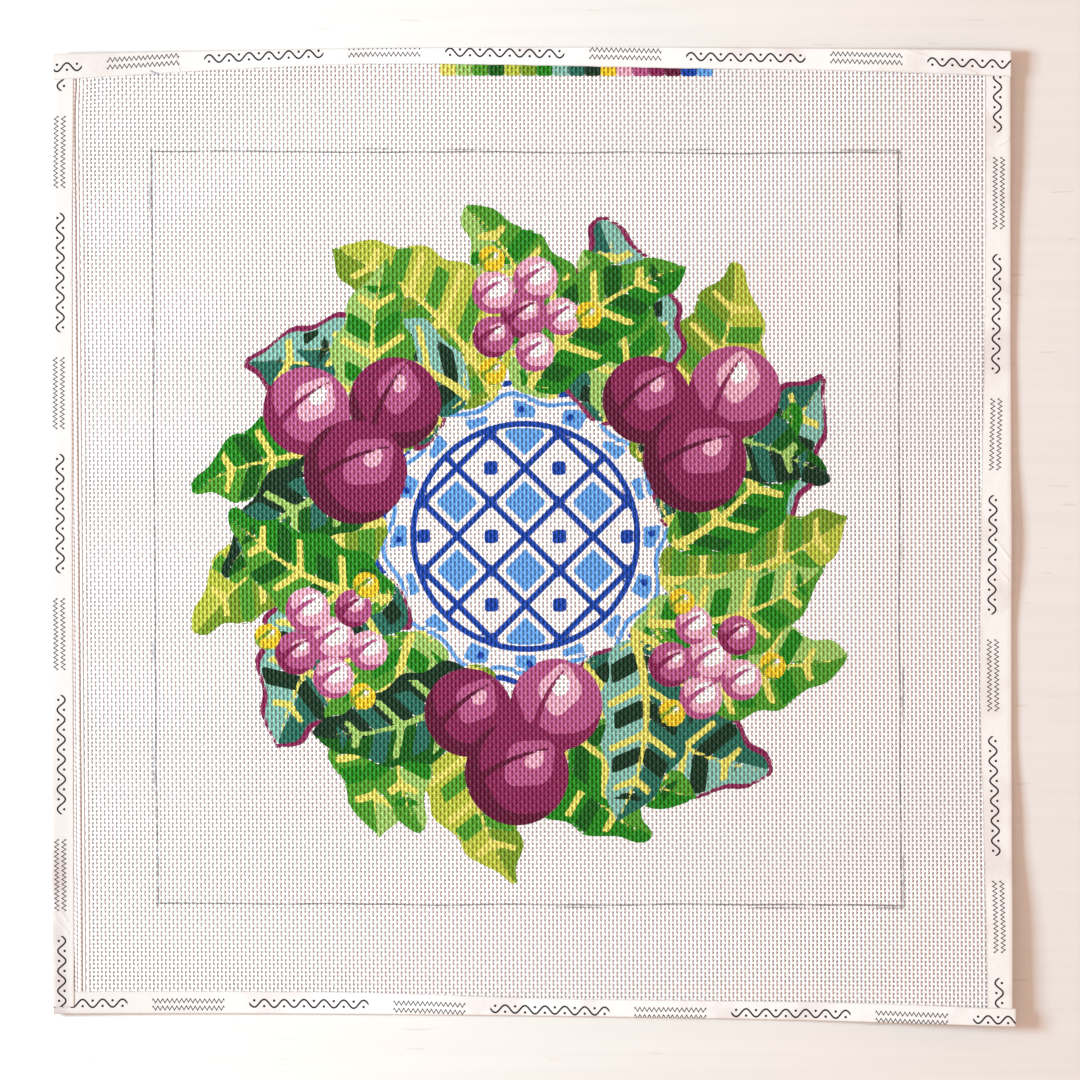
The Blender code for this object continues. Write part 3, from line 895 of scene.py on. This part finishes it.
def folded_strip(side, number):
    """One strip folded over an edge, as a closed thin sheet, with its flat coordinates kept on it."""
    cover, under, proud, run_middle = STRIPS[side]
    first_corner, last_corner, axis, _ = SIDES[side]
    low, high = first_corner[1 - axis], last_corner[1 - axis]
    length = high - low + proud[0] + proud[1]
    along = np.linspace(0.0, length, STATIONS + 1)
    place = low - proud[0] + along
    share = np.clip((place - low) / (high - low), 0.0, 1.0)
    upper = tape_cover(cover, share) + EDGE_UNEVEN * ripple(along, number + 1.0, 0.031)
    lower = TAPE_WIDTH - upper

    # Where it lies over another strip it stands off by one more layer, and comes down in a short ramp
    over = np.zeros(len(along))
    for width, from_end in zip(under, (along, length - along)):
        if width:
            over = np.maximum(over, smooth(1.0 - (from_end - width - RAMP_START) / RAMP_LENGTH))
    half = TAPE_INNER + TAPE_LAYER * over + TAPE_THICK / 2

    # The section, from the raw edge on top round the fold to the raw edge below
    inwards, lift, unrolled = [], [], []
    for k in range(UPPER_STEPS):
        inwards.append(upper * (1.0 - k / UPPER_STEPS))
        lift.append(half)
        unrolled.append(upper - inwards[-1])
    for k in range(FOLD_STEPS + 1):
        turn = math.pi * k / FOLD_STEPS
        inwards.append(np.full(len(along), -FOLD_REACH * math.sin(turn)))
        lift.append(half * math.cos(turn))
        unrolled.append(upper + FOLD_LENGTH * k / FOLD_STEPS)
    for k in range(1, LOWER_STEPS + 1):
        inwards.append(lower * k / LOWER_STEPS)
        lift.append(-half)
        unrolled.append(upper + FOLD_LENGTH + inwards[-1])
    inwards, lift, unrolled = (np.stack(part, axis=1) for part in (inwards, lift, unrolled))
    free = np.clip(inwards / upper[:, None], 0.0, 1.0) * (lift > 0)
    cockle = ripple(along, number + 4.0, 0.017)[:, None] * ripple(unrolled, number + 2.0, 0.011)
    lift = lift + free * COCKLE * (1.0 + cockle)

    # Thickness to both sides of the middle of the sheet
    slope_in, slope_up = np.gradient(inwards, axis=1), np.gradient(lift, axis=1)
    scale = np.hypot(slope_in, slope_up)
    normal_in, normal_up = slope_up / scale, -slope_in / scale

    # Only the upper layer reaches past the far corner, the lower one ends at the canvas
    turned = np.clip((np.arange(inwards.shape[1]) - UPPER_STEPS) / FOLD_STEPS, 0.0, 1.0)
    lower_place = np.minimum(place, high - LOWER_SHORT) if side == "bottom" else place
    place = lerp(place[:, None], lower_place[:, None], turned)
    cut_edge, sign = edge_at(side, place), BEYOND[side][2]
    seat_across = cut_edge + sign * np.maximum(inwards, 0.0)
    seat = underside(seat_across, place) if axis == 0 else underside(place, seat_across)
    sheets = []
    for face in (0.5, -0.5):
        across = cut_edge + sign * (inwards + face * TAPE_THICK * normal_in)
        up = lift + face * TAPE_THICK * normal_up
        x, y = (across, place) if axis == 0 else (place, across)
        sheets.append(np.stack([x, y, seat + TAPE_MIDDLE + up], axis=-1))

    rows, columns = inwards.shape
    grid = np.arange(rows * columns).reshape(rows, columns)
    count = rows * columns
    outer = np.stack([grid[:-1, :-1], grid[1:, :-1], grid[1:, 1:], grid[:-1, 1:]], axis=-1).reshape(-1, 4)
    faces = [outer, outer[:, ::-1] + count]
    for edge in (grid[:, 0][::-1], grid[:, -1], grid[0, :], grid[-1, :][::-1]):
        faces.append(np.stack([edge[:-1], edge[1:], edge[1:] + count, edge[:-1] + count], axis=-1))
    faces = np.concatenate(faces)
    if side in ("left", "top"):
        faces = faces[:, ::-1]
    mesh = bpy.data.meshes.new(side + "_binding")
    mesh.from_pydata(np.concatenate([part.reshape(-1, 3) for part in sheets]).tolist(), [], faces.tolist())

    # Its own map: the strip unrolled and cut into rows, then its edges and its two ends
    station, column = faces % count // columns, faces % columns
    inside = faces >= count
    row = np.minimum(station.min(axis=1) * MAP_ROWS // STATIONS, MAP_ROWS - 1)[:, None]
    across_row = (station - row * STATIONS / MAP_ROWS) / (STATIONS / MAP_ROWS)
    wide = (unrolled.ravel() / unrolled.max())[faces % count]
    is_side = inside.all(axis=1, keepdims=True)
    is_rim = (inside.any(axis=1) & ~inside.all(axis=1))[:, None]
    is_end = is_rim & (np.ptp(station, axis=1) == 0)[:, None]
    up_row = np.where(is_side, 0.80 + 0.10 * wide, 0.04 + 0.70 * wide)
    up_row = np.where(is_rim, np.where(column == 0, 0.92, 0.96) + 0.02 * inside, up_row)
    layout_x = np.where(is_end, 0.02 + 0.45 * (station > 0) + 0.4 * wide, 0.01 + 0.98 * across_row)
    layout_y = np.where(is_end, MAP_ROWS + 0.05 + 0.3 * inside, row + up_row) / (MAP_ROWS + 0.4)
    keep_layout(mesh, np.stack([layout_x, layout_y], axis=-1))

    flat = np.stack([place - run_middle, unrolled, np.zeros(place.shape)], axis=-1).reshape(-1, 3)
    keep_values(mesh, "flat_place", np.concatenate([flat, flat + np.array([0.0, 0.0, 1.0])]))
    keep_values(mesh, "from_end", np.tile(np.repeat(np.minimum(along, length - along), columns), 2))
    mesh.shade_smooth()
    mesh.set_sharp_from_angle(angle=math.radians(50))
    mesh.update()
    return mesh, length


tape_cotton = bpy.data.materials.new("white_cotton_tape")
tape_cotton.use_nodes = True
for number, side in enumerate(STRIPS):
    mesh, length = folded_strip(side, number)
    mesh.materials.append(tape_cotton)
    strip = plain_object(side + "_binding", mesh)
    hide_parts(side + "_tape")
    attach(strip, "root")

# Apart from its white and its pink blush, these tape tones are painted shade: towards the left, at its lower
# left, and along its raw edges and ends
TAPE_WHITE = (0.89, 0.87, 0.865)
TAPE_LEFT_SHADE = (0.70, 0.63, 0.605)
TAPE_BLUSH = (0.70, 0.60, 0.585)
TAPE_LOWER_LEFT_SHADE = (0.55, 0.44, 0.42)
TAPE_EDGE_SHADE = (0.58, 0.45, 0.41)
INK = (24, 10, 30)
RUN_EVERY = 0.117

# Creases pressed into the tape: both ends on the table, half width, and height against the small relief
CREASES = (
    ((0.1818, 0.2358), (0.2150, 0.2246), 0.0012, 5.0),
    ((0.2250, 0.1890), (0.2312, 0.1928), 0.0010, 4.0),
    ((0.2152, 0.1176), (0.2322, 0.1120), 0.0012, 4.0),
    ((0.2240, -0.0010), (0.2322, -0.0118), 0.0013, 5.0),
    ((0.2240, -0.0136), (0.2310, -0.0216), 0.0011, 3.5),
    ((-0.2320, -0.1780), (-0.2262, -0.1862), 0.0014, 5.0),
    ((-0.2312, -0.1862), (-0.2256, -0.1922), 0.0012, 4.0),
    ((-0.1732, 0.2325), (-0.1712, 0.2257), 0.0010, 4.0),
    ((-0.2330, -0.2290), (-0.2250, -0.2312), 0.0010, 4.0),
)
STRAY_MARK = ((-0.1852, 0.2259), (-0.1808, 0.2241), 0.00035)
STRAY_MARK_GREY = (110, 112, 150)
tree = tape_cotton.node_tree
shader = tree.nodes["Principled BSDF"]
place = node(tree, "ShaderNodeTexCoord", {}, (), 3)
along, inward, lining = parts_of(tree, attribute(tree, "flat_place", 1), 3)
x, y = parts_of(tree, place)


def off_stretch(start, end):
    """Distance on the table from the straight stretch between two places."""
    run_x, run_y = end[0] - start[0], end[1] - start[1]
    share = ((x - start[0]) * run_x + (y - start[1]) * run_y) / (run_x**2 + run_y**2)
    share = share.between(0.0, 1.0)
    gap_x, gap_y = x - start[0] - share * run_x, y - start[1] - share * run_y
    return (gap_x * gap_x + gap_y * gap_y).math("SQRT")


# The print: a winding line with dots in long runs, and two rows of zigzag in short runs between them. Its
# sizes are in millimetres, and its lines are so far in from the raw edge.
WAVE = 9.66
WAVE_LINE = 5.8
SWING = 1.9
STROKE = 0.42
DOT_OFF = 1.35
DOT_RADIUS = 0.62
LONG_HALF, SHORT_HALF = 29.0, 17.5
ZIGZAG_LINES = (4.7, 8.2)
ZIGZAG_STEP = 1.15
ZIGZAG_SLOPE = 1.75
repeat = (along / RUN_EVERY + 0.5).math("FLOORED_MODULO", 1.0) - 0.5
run_x = repeat * RUN_EVERY * 1000
run_y = inward * 1000
long_run = 1 - step_at(run_x.math("ABSOLUTE"), LONG_HALF, 0.3)
swing = (run_x * (2 * math.pi / WAVE)).math("SINE")
slope = (run_x * (2 * math.pi / WAVE)).math("COSINE") * (SWING * 2 * math.pi / WAVE)
off_line = (run_y - WAVE_LINE - swing * SWING).math("ABSOLUTE") / (slope * slope + 1).math("SQRT")
stem = 1 - step_at(off_line, STROKE, 0.12)
dot_x = (run_x / (WAVE / 2) + 1.0).math("FLOORED_MODULO", 1.0) * (WAVE / 2) - WAVE / 4
dot_y = run_y - WAVE_LINE + swing.math("SIGN") * DOT_OFF
dots = 1 - step_at((dot_x * dot_x + dot_y * dot_y).math("SQRT"), DOT_RADIUS, 0.16)
vine = stem.math("MAXIMUM", dots) * long_run
short_x = RUN_EVERY * 500 - run_x.math("ABSOLUTE")
short_run = 1 - step_at(short_x, SHORT_HALF, 0.3)
zig = (run_x.math("PINGPONG", ZIGZAG_STEP) - ZIGZAG_STEP / 2) * ZIGZAG_SLOPE
outer, inner = ((run_y - line - zig).math("ABSOLUTE") for line in ZIGZAG_LINES)
zigzag = (1 - step_at(outer.math("MINIMUM", inner), STROKE, 0.14)) * short_run
worn = 0.86 + 0.3 * noise(tree, place, 1400.0)
ink = (vine.math("MAXIMUM", zigzag) * worn).math("MINIMUM", 1.0) * (1 - lining)

# It is painted darker towards the left, and darker and pinker at its lower left, most in blotches: painted
# shade against the window's strong light there. It has taken up a little pink in places, and a line of
# painted shade runs along its raw edges and ends.
cloud = noise(tree, place, 26.0, 3.0)
lower_left = step_at(0 - x, 0.2262, 0.006) * step_at(0 - y, 0.120, 0.09)
tone = mixed(tree, step_at(0 - x, 0.15, 0.20), (*TAPE_WHITE, 1), (*TAPE_LEFT_SHADE, 1))
tone = mixed(tree, step_at(cloud, 0.57, 0.14) * 0.45, tone, (*TAPE_BLUSH, 1))
tone = mixed(tree, lower_left * (0.25 + 0.6 * step_at(cloud, 0.46, 0.2)), tone, (*TAPE_LOWER_LEFT_SHADE, 1))
# Painted shade along the raw edges and the ends of each strip
edge_shade = 1 - step_at(inward.math("MINIMUM", attribute(tree, "from_end")), 0.0005, 0.0004)
tone = mixed(tree, edge_shade * 0.5, tone, (*TAPE_EDGE_SHADE, 1))
tone = mixed(tree, ink, tone, linear(INK))
on_mark = 1 - step_at(off_stretch(*STRAY_MARK[:2]), STRAY_MARK[2], 0.0002)
tone = mixed(tree, on_mark * 0.75, tone, linear(STRAY_MARK_GREY))
tree.links.new(tone.socket, shader.inputs["Base Color"])
shader.inputs["Roughness"].default_value = 0.85
shader.inputs["Specular IOR Level"].default_value = 0.3
ribs = (along * (2 * math.pi / 0.00055)).math("SINE") * (inward * (2 * math.pi / 0.00070)).math("SINE")
relief = ribs * 0.4 + (noise(tree, place, 420.0, 3.0) - 0.5) * 2.4 + (noise(tree, place, 4200.0) - 0.5) * 0.8
relief = relief + (noise(tree, place, 90.0, 2.0) - 0.5) * 6.0
for start, end, half, height in CREASES:
    relief = relief + (1 - step_at(off_stretch(start, end), half / 2, half)) * height
bump = node(tree, "ShaderNodeBump", {}, {"Strength": 0.5, "Distance": 0.00008, "Height": relief})
tree.links.new(bump.socket, shader.inputs["Normal"])


# The table under it, a white painted board with faint grain, daylight from a window on the left, and warm
# bright walls all round.
TABLE = (0.80, 0.765, 0.745)
floor_mesh = bpy.data.meshes.new("table")
floor_mesh.from_pydata([(-3, -3, 0), (3, -3, 0), (3, 3, 0), (-3, 3, 0)], [], [(0, 1, 2, 3)])
floor = plain_object("table", floor_mesh)
floor.location.z = -0.0001
table_top = bpy.data.materials.new("table")
table_top.use_nodes = True
tree = table_top.node_tree
shader = tree.nodes["Principled BSDF"]
x, y = parts_of(tree, node(tree, "ShaderNodeTexCoord", {}, (), 3))
grain = step_at(noise(tree, vector(tree, x * 5.0, y * 170.0), 1.0, 3.0), 0.5, 0.5)
scratches = step_at(noise(tree, vector(tree, x * 45.0, y * 420.0), 1.0, 1.0), 0.74, 0.06)
wood = mixed(tree, grain, (*(0.98 * c for c in TABLE), 1), (*(1.02 * c for c in TABLE), 1))
wood = mixed(tree, scratches * 0.25, wood, (0.52, 0.42, 0.36, 1))
tree.links.new(wood.socket, shader.inputs["Base Color"])
shader.inputs["Roughness"].default_value = 0.6
floor_mesh.materials.append(table_top)

WINDOW = (-1.3, 0.10, 0.87)
WINDOW_SIZE = 0.5
WINDOW_POWER = 35.0
WINDOW_COLOUR = (0.607, 0.893, 1.0)
lamp_data = bpy.data.lights.new("window", "AREA")
lamp_data.shape = "SQUARE"
lamp_data.size = WINDOW_SIZE
lamp_data.energy = WINDOW_POWER
lamp_data.color = WINDOW_COLOUR
lamp = bpy.data.objects.new("window", lamp_data)
lamp.location = WINDOW
lamp.rotation_euler = (-Vector(WINDOW)).to_track_quat("-Z", "Y").to_euler()
lamp.visible_camera = False
scene.collection.objects.link(lamp)

ROOM_COLOUR = (1.0, 0.708, 0.572, 1)
ROOM_STRENGTH = 0.775
world = bpy.data.worlds.new("room")
world.use_nodes = True
walls = world.node_tree.nodes["Background"]
walls.inputs["Color"].default_value = ROOM_COLOUR
walls.inputs["Strength"].default_value = ROOM_STRENGTH
scene.world = world
scene.view_settings.view_transform = "Standard"
